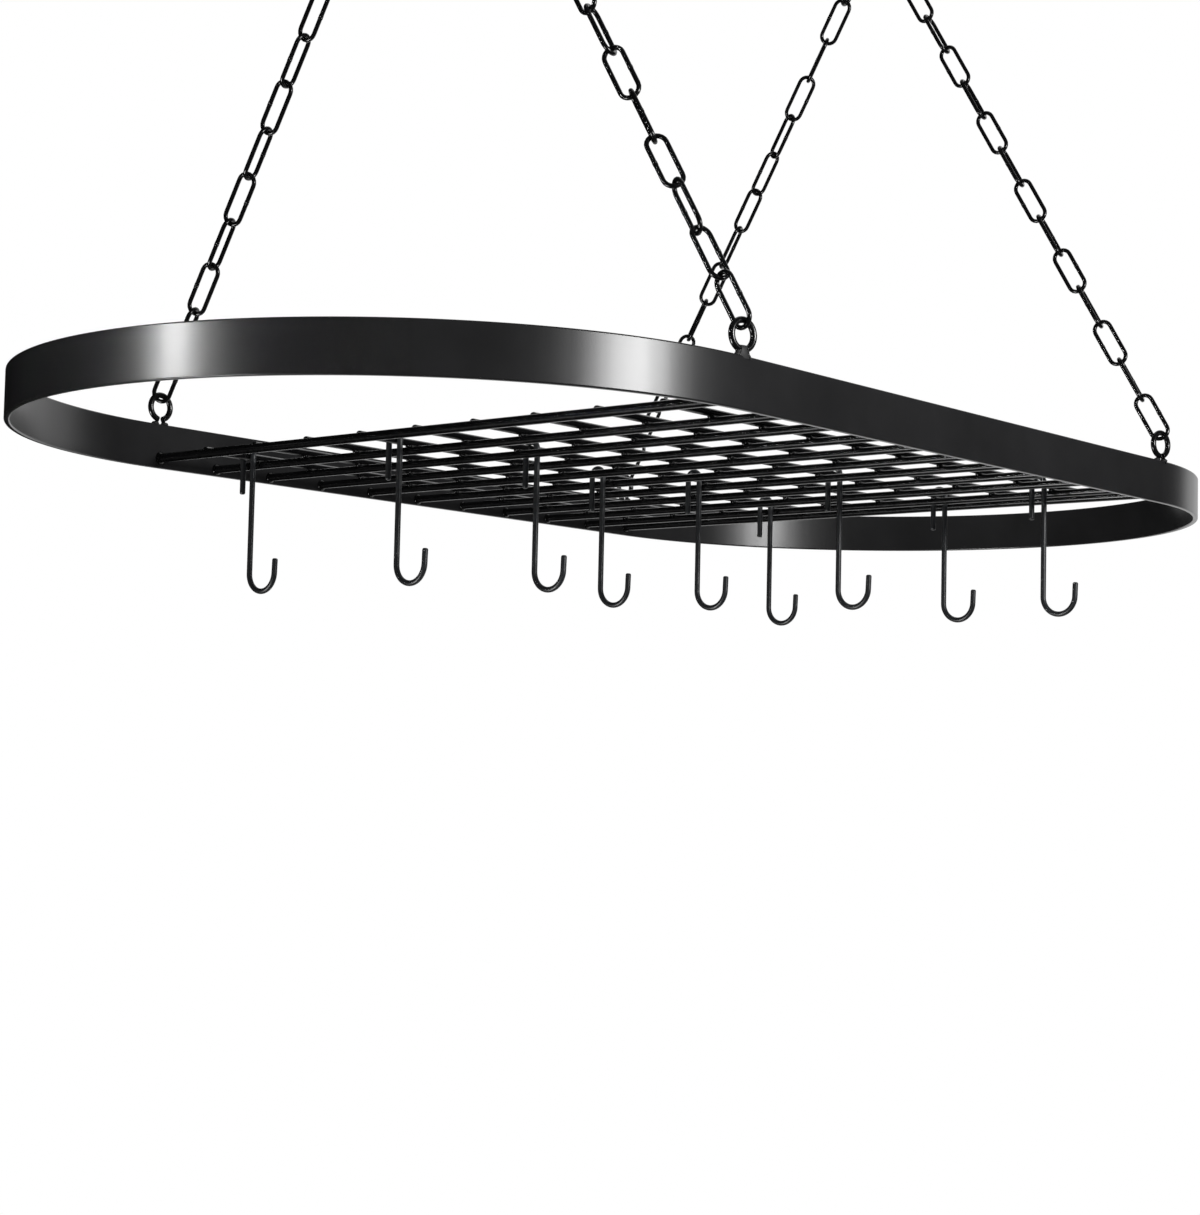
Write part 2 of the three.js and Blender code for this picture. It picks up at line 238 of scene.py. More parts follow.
def run(bm, loop, step, widen=(1, 1, 1)):
    """Grows a wire straight on by `step`, and makes its end wider or narrower there."""
    grown = bmesh.ops.extrude_edge_only(bm, edges=loop)["geom"]
    verts = only(grown, bmesh.types.BMVert)
    bmesh.ops.translate(bm, verts=verts, vec=step)
    centre = sum((vert.co for vert in verts), Vector()) / len(verts)
    bmesh.ops.scale(bm, verts=verts, vec=widen, space=Matrix.Translation(-centre))
    return [edge for edge in only(grown, bmesh.types.BMEdge) if edge.is_boundary]


def bend(bm, loop, centre, axis, angle, steps):
    """Grows a wire round a bend, `angle` radians about `axis` through `centre`."""
    made = bmesh.ops.spin(
        bm,
        geom=corners(loop) + loop,
        cent=centre,
        axis=axis,
        angle=angle,
        steps=steps,
        use_merge=False,
    )
    return only(made["geom_last"], bmesh.types.BMEdge)


def close_end(bm, loop, rounding=0.0):
    """Caps a wire's end, and rounds the cap's edge."""
    cap = bmesh.ops.edgeloop_fill(bm, edges=loop)["faces"][0]
    if rounding:
        bmesh.ops.bevel(
            bm,
            geom=list(cap.edges),
            offset=rounding,
            segments=3,
            profile=0.5,
            affect="EDGES",
            material=-1,
        )


def bead(bm, at, radii, turn=0.0):
    """A small squeezed-out bead of weld metal."""
    matrix = Matrix.Translation(at) @ Matrix.Rotation(turn, 4, "Z") @ Matrix.Diagonal((*radii, 1))
    bmesh.ops.create_uvsphere(bm, u_segments=10, v_segments=6, radius=1, matrix=matrix)


def break_shading(bm):
    """A long flat face that meets a short one keeps its own shading, so that it looks straight."""
    uneven = 4
    for edge in bm.edges:
        areas = sorted(face.calc_area() for face in edge.link_faces)
        edge.smooth = not areas or areas[-1] < uneven * areas[0]


def new_object(bm, name, material):
    """Makes the mesh an object in the scene."""
    mesh = bpy.data.meshes.new(name)
    bm.to_mesh(mesh)
    bm.free()
    mesh.materials.append(material)
    made = bpy.data.objects.new(name, mesh)
    bpy.context.scene.collection.objects.link(made)
    return made


def finish_piece(bm, name, material, body, nodes=()):
    """Makes the mesh a piece that rides on its body and stands for its frame nodes."""
    touching = 0.001 * MM
    bmesh.ops.remove_doubles(bm, verts=bm.verts, dist=touching)
    bmesh.ops.recalc_face_normals(bm, faces=bm.faces)
    break_shading(bm)
    for face in bm.faces:
        face.smooth = True
    piece = new_object(bm, name, material)
    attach(piece, body)
    if nodes:
        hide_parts(*nodes)


def middle(node):
    """The middle of a frame node."""
    low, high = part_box(node)
    return (low + high) / 2


def diameter(rod):
    """The diameter of a level rod of the frame."""
    low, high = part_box(rod)
    return high.z - low.z


# ---------------------------------------------------------------- finishes

# The patterns in the lacquer, in millimetres: clouds of tone, the drift of gloss on round metal,
# and the width of the streaks on the flat bar, which are drawn out to so many times their width.
CLOUD_MM = 38
GRAIN_MM = 2.4
STREAK_MM = 9
STREAK_LENGTH = 25

# Between these values lies nearly all of a noise pattern, and the tone drifts between these shares
# of its colour.
NOISE_LOW, NOISE_HIGH = 0.3, 0.7
TONE_LOW, TONE_HIGH = 0.8, 1.2


def per_mm(millimetres):
    """The noise scale whose features are about so many millimetres across."""
    return 1 / (millimetres * MM)


def add_node(tree, kind, settings=None, links=None):
    """Adds a node, with its inputs and options set and its inputs linked to the outputs given."""
    node = tree.nodes.new(kind)
    for name, value in (settings or {}).items():
        if isinstance(name, int) or name in node.inputs:
            node.inputs[name].default_value = value
        else:
            setattr(node, name, value)
    for name, output in (links or {}).items():
        tree.links.new(output, node.inputs[name])
    return node


def new_material(name):
    """A material with an empty node tree and its output."""
    material = bpy.data.materials.new(name)
    material.use_nodes = True
    tree = material.node_tree
    tree.nodes.clear()
    return material, tree, add_node(tree, "ShaderNodeOutputMaterial")


def lacquer(name, colour, gloss, level, peel_mm, peel_height_mm, streaks=0.0):
    """Black stoving lacquer on steel: colour and gloss drift a little, over a fine orange peel.

    `gloss` gives the lowest and highest roughness. `streaks` turns the drift of gloss into the soft
    upright bands of a flat bar that was rolled to shape, so many times the orange peel's height."""
    material, tree, output = new_material(name)
    place = add_node(tree, "ShaderNodeTexCoord").outputs["Object"]
    cloud = add_node(
        tree, "ShaderNodeTexNoise", {"Scale": per_mm(CLOUD_MM), "Detail": 4}, {"Vector": place}
    )
    tone = add_node(tree, "ShaderNodeValToRGB", links={"Fac": cloud.outputs["Fac"]})
    low, high = tone.color_ramp.elements
    low.color, low.position = (*(TONE_LOW * c for c in colour), 1), NOISE_LOW
    high.color, high.position = (*(TONE_HIGH * c for c in colour), 1), NOISE_HIGH
    pattern, grain_mm = place, GRAIN_MM
    if streaks:
        upright = {"Scale": (1, 1, 1 / STREAK_LENGTH)}
        drawn_out = add_node(tree, "ShaderNodeMapping", upright, {"Vector": place})
        pattern, grain_mm = drawn_out.outputs[0], STREAK_MM
    grain = add_node(
        tree, "ShaderNodeTexNoise", {"Scale": per_mm(grain_mm), "Detail": 4}, {"Vector": pattern}
    )
    rough = add_node(
        tree,
        "ShaderNodeMapRange",
        {"From Min": NOISE_LOW, "From Max": NOISE_HIGH, "To Min": gloss[0], "To Max": gloss[1]},
        {"Value": grain.outputs["Fac"]},
    )
    peel = add_node(
        tree, "ShaderNodeTexNoise", {"Scale": per_mm(peel_mm), "Detail": 2}, {"Vector": place}
    )
    height = peel.outputs["Fac"]
    if streaks:
        height = add_node(
            tree,
            "ShaderNodeMath",
            {"operation": "MULTIPLY_ADD", 1: streaks},
            {0: grain.outputs["Fac"], 2: height},
        ).outputs[0]
    bump = add_node(
        tree, "ShaderNodeBump", {"Strength": 1, "Distance": peel_height_mm * MM}, {"Height": height}
    )
    surface = add_node(
        tree,
        "ShaderNodeBsdfPrincipled",
        {"Metallic": 0, "IOR": 1.5, "Specular IOR Level": level},
        {"Base Color": tone.outputs[0], "Roughness": rough.outputs[0], "Normal": bump.outputs[0]},
    )
    tree.links.new(surface.outputs[0], output.inputs["Surface"])
    return material


def material_for(slot):
    """The finish of a material slot, made when it is first asked for."""
    name = {
        "band": "satin_black_lacquer_on_flat_bar",
        "bars": "satin_black_lacquer_on_round_bar",
        "welds": "satin_black_lacquer_on_weld_metal",
        "hooks": "charcoal_coating_on_wire",
        "chain": "gloss_black_coating_on_chain",
    }[slot]
    made = bpy.data.materials.get(name)
    if made:
        return made
    colours = finishes()
    if slot == "band":
        # Sprayed and stoved: an even satin sheen that spreads a lamp into a soft silvery patch.
        return lacquer(
            name,
            colours.band_lacquer,
            gloss=(0.28, 0.3),
            level=0.5,
            peel_mm=1.1,
            peel_height_mm=0.004,
            streaks=6,
        )
    if slot == "bars":
        # The same lacquer run thin over drawn bar: tighter gloss, and a fine bright line on it.
        return lacquer(
            name,
            colours.bar_lacquer,
            gloss=(0.18, 0.26),
            level=0.45,
            peel_mm=0.9,
            peel_height_mm=0.01,
        )
    if slot == "welds":
        # Lacquer over the rough skin of a weld: as dark as the flat bar, and too dull for a glint.
        return lacquer(
            name,
            colours.band_lacquer,
            gloss=(0.5, 0.65),
            level=0.4,
            peel_mm=0.7,
            peel_height_mm=0.03,
        )
    if slot == "hooks":
        # A dipped soft coating: duller and a little blue, with the waviness of the dip.
        return lacquer(
            name,
            colours.hook_coating,
            gloss=(0.34, 0.46),
            level=0.5,
            peel_mm=1.6,
            peel_height_mm=0.02,
        )
    # Electro-coated links: deep gloss black with sharp glints on the bends.
    return lacquer(
        name,
        colours.chain_coating,
        gloss=(0.16, 0.26),
        level=0.5,
        peel_mm=0.8,
        peel_height_mm=0.008,
    )


# ---------------------------------------------------------------- pieces


class BandOperator(bpy.types.Operator):
    """Model the oval band of flat bar, with its long edges rounded"""

    bl_idname = "pot_rack.band"
    bl_label = "Band"

    def execute(self, context):
        size = sizes()
        height = BAND_HIGH.z - BAND_LOW.z
        middle_z = (BAND_HIGH.z + BAND_LOW.z) / 2
        bm = bmesh.new()
        verts = bmesh.ops.create_grid(bm, x_segments=1, y_segments=1, size=0.5)["verts"]
        bmesh.ops.scale(bm, verts=verts, vec=(size.band_thickness, height, 1))
        # The flat section is stood up across X, its thickness along Y and its height along Z.
        upright = Matrix(((0, 0, 1), (1, 0, 0), (0, 1, 0))).to_4x4()
        place = Matrix.Translation((-STRAIGHT_HALF, size.band_thickness / 2 - END_RADIUS, middle_z))
        bmesh.ops.transform(bm, matrix=place @ upright, verts=verts)
        bmesh.ops.bevel(
            bm,
            geom=verts,
            offset=size.band_edge,
            segments=4,
            profile=0.5,
            affect="VERTICES",
            material=-1,
        )
        bmesh.ops.delete(bm, geom=list(bm.faces), context="FACES_ONLY")
        loop = list(bm.edges)
        for way in (1, -1):
            loop = run(bm, loop, way * 2 * STRAIGHT_HALF * X)
            loop = bend(bm, loop, way * STRAIGHT_HALF * X, Z, math.pi, size.end_steps)
        finish_piece(bm, "band", material_for("band"), "rack", ["rim_band"])
        return {"FINISHED"}


class GridOperator(bpy.types.Operator):
    """Model the end bars, the cross bars and the long wires"""

    bl_idname = "pot_rack.grid"
    bl_label = "Grid"

    def execute(self, context):
        reach = END_RADIUS - sizes().band_thickness
        for node in (*END_BARS, *CROSS_BARS):
            self.straight(node, middle(node) - reach * Y, 2 * reach * Y, rounding=0.3)
        for node in LONG_WIRES:
            low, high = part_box(node)
            start = Vector((low.x, middle(node).y, middle(node).z))
            self.straight(node, start, (high.x - low.x) * X, rounding=0.8)
        return {"FINISHED"}

    def straight(self, node, start, step, rounding):
        """A straight rod whose ends are rounded by a share of its radius."""
        radius = diameter(node) / 2
        bm = bmesh.new()
        first = section(bm, radius, sizes().wire_sides, start, step.normalized())
        last = run(bm, first, step)
        for loop in (first, last):
            close_end(bm, loop, rounding * radius)
        finish_piece(bm, f"{node}_rod", material_for("bars"), "rack", [node])


class WeldsOperator(bpy.types.Operator):
    """Model the welds that hold the grid together and to the band"""

    bl_idname = "pot_rack.welds"
    bl_label = "Welds"

    def execute(self, context):
        seed = 11
        self.chance = random.Random(seed)
        self.collars()
        self.crossings()
        self.wire_ends()
        return {"FINISHED"}

    def collars(self):
        """A ring of weld metal where each bar's end meets the band."""
        size = sizes()
        face = END_RADIUS - size.band_thickness
        bm = bmesh.new()
        for node in (*END_BARS, *CROSS_BARS):
            bar = diameter(node) / 2
            for way in (-1, 1):
                centre = middle(node) + way * face * Y
                outer = bar + size.bar_collar * self.chance.uniform(0.75, 1.1)
                now = 0.96 * outer
                loop = section(bm, now, size.wire_sides, centre, -way * Y)
                # The collar swells, then narrows to the bar: shares of its reach, and radii.
                for share, radius in ((0.25, outer), (0.3, 0.93 * outer), (0.45, 0.99 * bar)):
                    step = -way * share * size.collar_reach * Y
                    widen = radius / now
                    loop = run(bm, loop, step, (widen, 1, widen))
                    now = radius
        finish_piece(bm, "bar_end_welds", material_for("bars"), "rack")

    def crossings(self):
        """Weld metal squeezed out under each wire, and a drop beside it on the near left side."""
        size = sizes()
        flat = 0.8 * MM
        bm = bmesh.new()
        for bar in CROSS_BARS:
            for wire in LONG_WIRES:
                at = Vector((middle(bar).x, middle(wire).y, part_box(wire)[0].z))
                radius = size.weld_bead * self.chance.uniform(0.85, 1.15)
                bead(bm, at, (radius, radius, flat), self.chance.uniform(0, math.pi))
                from_bar, from_wire = self.chance.uniform(1.4, 2.0), self.chance.uniform(0.4, 1.6)
                aside = Vector((-from_bar, -from_wire, -0.2)) * MM
                drop = 0.6 * radius
                bead(bm, at + aside, (drop, drop, drop), self.chance.uniform(0, math.pi))
        finish_piece(bm, "crossing_welds", material_for("bars"), "rack")

    def wire_ends(self):
        """A bead that runs from each wire's end over the end bar's flank."""
        along, across, up = 2.2 * MM, 3.2 * MM, 1.3 * MM
        above_foot = 0.7 * MM
        towards_bar = 0.35
        bm = bmesh.new()
        for side, node in enumerate(END_BARS):
            bar = middle(node)
            for wire in LONG_WIRES:
                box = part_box(wire)
                end = Vector((box[side].x, middle(wire).y, box[0].z + above_foot))
                at = end.lerp(Vector((bar.x, end.y, end.z)), towards_bar)
                bead(bm, at, (along, across * self.chance.uniform(0.8, 1.1), up))
        finish_piece(bm, "wire_end_welds", material_for("bars"), "rack")


class EyeletsOperator(bpy.types.Operator):
    """Model the wire rings on the band that the chains hook into, with their welds"""

    bl_idname = "pot_rack.eyelets"
    bl_label = "Eyelets"

    def execute(self, context):
        for name, chain in CHAINS.items():
            node = f"eyelet_{name}"
            ring, weld = bmesh.new(), bmesh.new()
            foot = self.ring(ring)
            if name in FILLED_EYELETS:
                self.filled_neck(weld, foot)
            else:
                self.foot_beads(weld, foot)
            centre = middle(node)
            place = Matrix.Translation((centre.x, centre.y, BAND_HIGH.z))
            turn = Matrix.Rotation(math.radians(chain["eyelet_turn"]), 4, "Z")
            for bm in (ring, weld):
                bmesh.ops.transform(bm, matrix=place @ turn, verts=bm.verts)
            finish_piece(ring, f"{node}_ring", material_for("chain"), "rack", [node])
            finish_piece(weld, f"{node}_weld", material_for("welds"), "rack")
        return {"FINISHED"}

    def ring(self, bm):
        """The open ring in the plane of X and Z, its feet sunk in the band's edge at z = 0. Gives
        how far each foot stands from the middle."""
        size = sizes()
        radius, mouth = size.eyelet_radius, size.eyelet_mouth
        rise = radius + size.eyelet_neck
        sunk = 0.4 * MM
        half_mouth = radius * math.sin(mouth)
        foot = half_mouth + size.eyelet_splay
        lowest = rise - radius * math.cos(mouth)
        mouth_edge = Vector((half_mouth, 0, lowest))
        along = Vector((math.cos(mouth), 0, math.sin(mouth)))
        first = section(bm, size.eyelet_wire / 2, size.wire_sides, mouth_edge, along)
        last = bend(bm, first, (0, 0, rise), -Y, 2 * (math.pi - mouth), steps=44)
        for loop, way in ((first, 1), (last, -1)):
            step = Vector((way * foot, 0, -sunk)) - Vector((way * half_mouth, 0, lowest))
            close_end(bm, run(bm, loop, step))
        return foot

    def filled_neck(self, bm, foot):
        """One run of weld over both feet: wide on the band's edge, drawn in under the ring."""
        size = sizes()
        # It takes in both feet, and is as deep as the band's edge.
        half_width, half_depth = foot + 0.8 * size.eyelet_wire, 0.51 * size.band_thickness
        sunk = 1.4 * MM
        # Each step up in millimetres, and how many times wider and deeper the weld gets there.
        steps = (
            (0.8, 1.0, 1.1),
            (0.8, 0.88, 1.04),
            (0.8, 0.86, 1.04),
            (0.8, 0.93, 1.0),
            (1.2, 0.98, 0.97),
            (1.2, 0.95, 0.94),
            (0.6, 0.8, 0.7),
        )
        loop = section(bm, 1, 2 * size.wire_sides, (0, 0, -sunk), Z)
        bmesh.ops.scale(bm, verts=corners(loop), vec=(half_width, half_depth, 1))
        for rise, wide, deep in steps:
            loop = run(bm, loop, rise * MM * Z, (wide, deep, 1))
        close_end(bm, loop)

    def foot_beads(self, bm, foot):
        """A small bead of weld round each foot."""
        along, across, up = 2.5 * MM, 1.9 * MM, 1.3 * MM
        above_band = 0.3 * MM
        for way in (-1, 1):
            bead(bm, Vector((way * foot, 0, above_band)), (along, across, up))


class HooksOperator(bpy.types.Operator):
    """Model the long S-hooks on the wires"""

    bl_idname = "pot_rack.hooks"
    bl_label = "S-hooks"

    def execute(self, context):
        for number, node in enumerate(S_HOOKS, 1):
            body = f"hook_{number}"
            pivot = Vector(JOINTS[f"{body}_swing"]["pos_m"])
            bm = self.hook()
            bmesh.ops.translate(bm, verts=bm.verts, vec=pivot + (middle(node).x - pivot.x) * X)
            finish_piece(bm, f"{node}_wire", material_for("hooks"), body, [node])
        return {"FINISHED"}

    def hook(self):
        """Short leg, narrow bend over the wire, long shank, wide bowl and leaning tip, in Y and Z,
        with its joint at the origin."""
        size = sizes()
        seat_gap = 0.3 * MM
        top = (size.hook_wire + diameter(LONG_WIRES[0])) / 2 + size.hook_play
        crown = Vector((0, 0, seat_gap - size.hook_play))
        leg_end = crown + Vector((0, top, top + size.hook_wire / 2 - size.hook_short_leg))
        bowl_rise = top + size.hook_wire - size.hook_length + size.hook_bowl
        bowl = crown + Vector((0, -top - size.hook_bowl, bowl_rise))
        bm = bmesh.new()
        first = section(bm, size.hook_wire / 2, size.wire_sides, leg_end, Z)
        loop = run(bm, first, (crown.z - leg_end.z) * Z)
        loop = bend(bm, loop, crown, X, math.pi, steps=18)
        loop = run(bm, loop, (bowl.z - crown.z) * Z)
        lean = size.hook_lean
        loop = bend(bm, loop, bowl, -X, math.pi - lean, steps=26)
        loop = run(bm, loop, size.hook_tip * Vector((0, -math.sin(lean), math.cos(lean))))
        for end in (first, loop):
            close_end(bm, end, rounding=0.28 * size.hook_wire)
        return bm


class ChainsOperator(bpy.types.Operator):
    """Model the four chains, link by link"""

    bl_idname = "pot_rack.chains"
    bl_label = "Chains"

    def execute(self, context):
        size = sizes()
        for name, chain in CHAINS.items():
            place = self.chain_frame(name, chain)
            first, last = self.end_links(name, place)
            gaps = len(LINKS) - 1
            pitch = (last - first) / gaps
            inner_length = max(size.link_inner_length, pitch + size.link_play)
            side = name.split("_")[0]
            to_top = 180 * chain["half_turns"] - chain["turn"]
            across_rack = 90  # an unturned link lies in the plane along the rack
            for number, part in enumerate(LINKS):
                turn = chain["turn"] + number / gaps * to_top + across_rack
                local = Matrix.Rotation(math.radians(turn), 4, "Z")
                rise = Matrix.Translation((0, 0, first + number * pitch))
                bm = self.link(inner_length)
                bmesh.ops.transform(bm, matrix=place @ rise @ local, verts=bm.verts)
                label = f"chain_{name}_link_{number + 1:02d}"
                body = f"{side}_top_links" if part == "top_link" else f"{side}_chains"
                node = f"chain_{name}_{part}"
                finish_piece(bm, label, material_for("chain"), body, [node])
        return {"FINISHED"}

    def chain_frame(self, name, chain):
        """Z runs up the chain from the eyelet, and the origin is in the ceiling hook's bowl."""
        size = sizes()
        aside = chain["across"] * (size.link_wire + size.top_link_gap) / 2
        eyelet = middle(f"eyelet_{name}")
        ring_top = BAND_HIGH.z + 2 * size.eyelet_radius + size.eyelet_neck
        bowl = Vector((chain["side"] * STRAIGHT_HALF + aside, 0, -size.screw_drop))
        up_chain = bowl - Vector((eyelet.x, eyelet.y, ring_top))
        return Matrix.Translation(bowl) @ Z.rotation_difference(up_chain).to_matrix().to_4x4()

    def end_links(self, name, place):
        """Where the bottom link's and the top link's upper bends lie along the chain."""
        heights = []
        for part in ("bottom_link", "top_link"):
            verts = frame["nodes"][f"chain_{name}_{part}"].data.vertices
            top = max((place.inverted() @ vert.co).z for vert in verts)
            heights.append(top - self.facet_top())
        return heights

    def facet_top(self):
        """How far the frame's six-sided link wire stands above its centre line."""
        frame_sides = 6
        return math.cos(math.pi / frame_sides) * sizes().link_wire / 2

    def link(self, inner_length):
        """A link in X and Z, with its upper bend's centre line at the origin and its butt joint
        pressed together halfway down one leg."""
        size = sizes()
        bend_radius = (size.link_inner_width + size.link_wire) / 2
        leg = inner_length + size.link_wire - 2 * bend_radius
        joint = size.link_joint
        # Towards the joint's nipped middle line and away from it: shares of its half length, and
        # how many times wider the wire gets over each.
        swell, fall, nip = 1.13, 0.96, 0.8
        towards = ((0.55, swell), (0.35, fall), (0.1, nip))
        away = ((0.1, 1 / nip), (0.35, 1 / fall), (0.55, 1 / swell))
        # An even number of steps puts a full section where the next link lies in the bend.
        bend_steps = 10
        bm = bmesh.new()
        start = Vector((-bend_radius, 0, -bend_radius))
        loop = section(bm, size.link_wire / 2, size.link_sides, start, -Z)
        loop = run(bm, loop, -(leg / 2 - joint) * Z)
        for share, widen in (*towards, *away):
            loop = run(bm, loop, -share * joint * Z, (widen, widen, 1))
        loop = run(bm, loop, -(leg / 2 - joint) * Z)
        loop = bend(bm, loop, (0, 0, -bend_radius - leg), -Y, math.pi, bend_steps)
        loop = run(bm, loop, leg * Z)
        bend(bm, loop, (0, 0, -bend_radius), -Y, math.pi, bend_steps)
        return bm


class CeilingHooksOperator(bpy.types.Operator):
    """Model the two screw hooks, with their threads"""

    bl_idname = "pot_rack.ceiling_hooks"
    bl_label = "Ceiling hooks"

    def execute(self, context):
        for side, name in ((-1, "left"), (1, "right")):
            bm = bmesh.new()
            self.shank(bm)
            self.thread(bm)
            bmesh.ops.translate(bm, verts=bm.verts, vec=side * STRAIGHT_HALF * X)
            node = f"ceiling_hook_{name}"
            black = material_for("chain")
            finish_piece(bm, f"{node}_screw", black, "ceiling_hooks", [node])
        return {"FINISHED"}

    def shank(self, bm):
        """Screw core, neck, a slanting stretch and the open bowl, from the top down, in X and Z."""
        size = sizes()
        radius, bowl = size.screw_wire / 2, size.screw_bowl
        core = radius - size.thread_depth
        centre = Vector((0, 0, bowl - size.screw_drop))
        slope = math.asin(bowl / (-size.screw_neck - centre.z))
        slant = math.sqrt((size.screw_neck + centre.z) ** 2 - bowl**2)
        neck_bend = 4 * MM
        cut = neck_bend * math.tan(slope / 2)
        lip = math.radians(15)
        blunt = 0.3 * MM
        shoulder = 0.9 * MM
        above_ceiling = 0.6 * MM
        loop = section(bm, blunt, size.wire_sides, (0, 0, size.screw_length), -Z)
        close_end(bm, loop)
        widen = core / blunt
        loop = run(bm, loop, -size.screw_point * Z, (widen, widen, 1))
        to_shoulder = size.screw_length - size.screw_point - shoulder - above_ceiling
        loop = run(bm, loop, -to_shoulder * Z)
        widen = radius / core
        loop = run(bm, loop, -shoulder * Z, (widen, widen, 1))
        loop = run(bm, loop, -(size.screw_neck + above_ceiling - cut) * Z)
        turn_at = Vector((neck_bend, 0, cut - size.screw_neck))
        loop = bend(bm, loop, turn_at, -Y, slope, steps=8)
        loop = run(bm, loop, (slant - cut) * Vector((math.sin(slope), 0, -math.cos(slope))))
        loop = bend(bm, loop, centre, Y, math.pi + slope + lip, steps=40)
        close_end(bm, loop, rounding=0.4 * radius)

    def thread(self, bm):
        """A ridge, its foot a little inside the core, that winds up round the core and runs out
        on the point."""
        size = sizes()
        steps_a_turn = 20
        outer = size.screw_wire / 2
        inner = outer - 1.15 * size.thread_depth
        half_foot = 0.3 * size.thread_pitch
        above_ceiling, below_tip = 2.2 * MM, 1.5 * MM
        turns = (size.screw_length - above_ceiling - below_tip) / size.thread_pitch
        ridge = [
            bm.verts.new((inner, 0, above_ceiling - half_foot)),
            bm.verts.new((outer, 0, above_ceiling)),
            bm.verts.new((inner, 0, above_ceiling + half_foot)),
        ]
        edges = [bm.edges.new(pair) for pair in zip(ridge, ridge[1:] + ridge[:1])]
        made = bmesh.ops.spin(
            bm,
            geom=ridge + edges,
            cent=(0, 0, 0),
            axis=Z,
            dvec=(0, 0, size.thread_pitch / steps_a_turn),
            angle=2 * math.pi * turns,
            steps=round(turns * steps_a_turn),
        )
        for loop in (edges, only(made["geom_last"], bmesh.types.BMEdge)):
            bmesh.ops.edgeloop_fill(bm, edges=loop)
        taper_from = size.screw_length - size.screw_point
        on_ridge = 0.99 * inner
        least = 0.12
        for vert in bm.verts:
            if vert.co.z > taper_from and vert.co.xy.length > on_ridge:
                left = 1 - (vert.co.z - taper_from) / size.screw_point
                vert.co.xy *= max(left, least)


# ---------------------------------------------------------------- stage

# The photograph's camera, fitted to points of the grid, the band, the eyelets and the chains.
CAMERA_FOCAL_MM = 70.25
CAMERA_SENSOR_MM = 36
CAMERA_PLACE = Vector((-1.0838, -0.85136, BAND_LOW.z - 0.16788))
CAMERA_TURN = math.radians(-50.21)
CAMERA_RISE = math.radians(3.98)
CAMERA_ROLL = math.radians(1.27)

# Between FADE_FROM and FADE_TO from its middle, the floor runs out into the white surround.
FLOOR_LEVEL = -2.4
FLOOR_RADIUS = 6
FADE_FROM, FADE_TO = 1.6, 4.2
SURROUND_STRENGTH = 0.6

# The drape's two ends, in degrees round the rack from X, the radii of its inner edges and its
# upright side, and the heights of its foot, of its side's top and of its roof above the band.
DRAPE_FROM, DRAPE_TO = 55, 349
DRAPE_INNER, DRAPE_OUTER = 0.25, 3.4
DRAPE_FOOT, DRAPE_EAVES, DRAPE_ROOF = -1.9, 1.3, 1.9


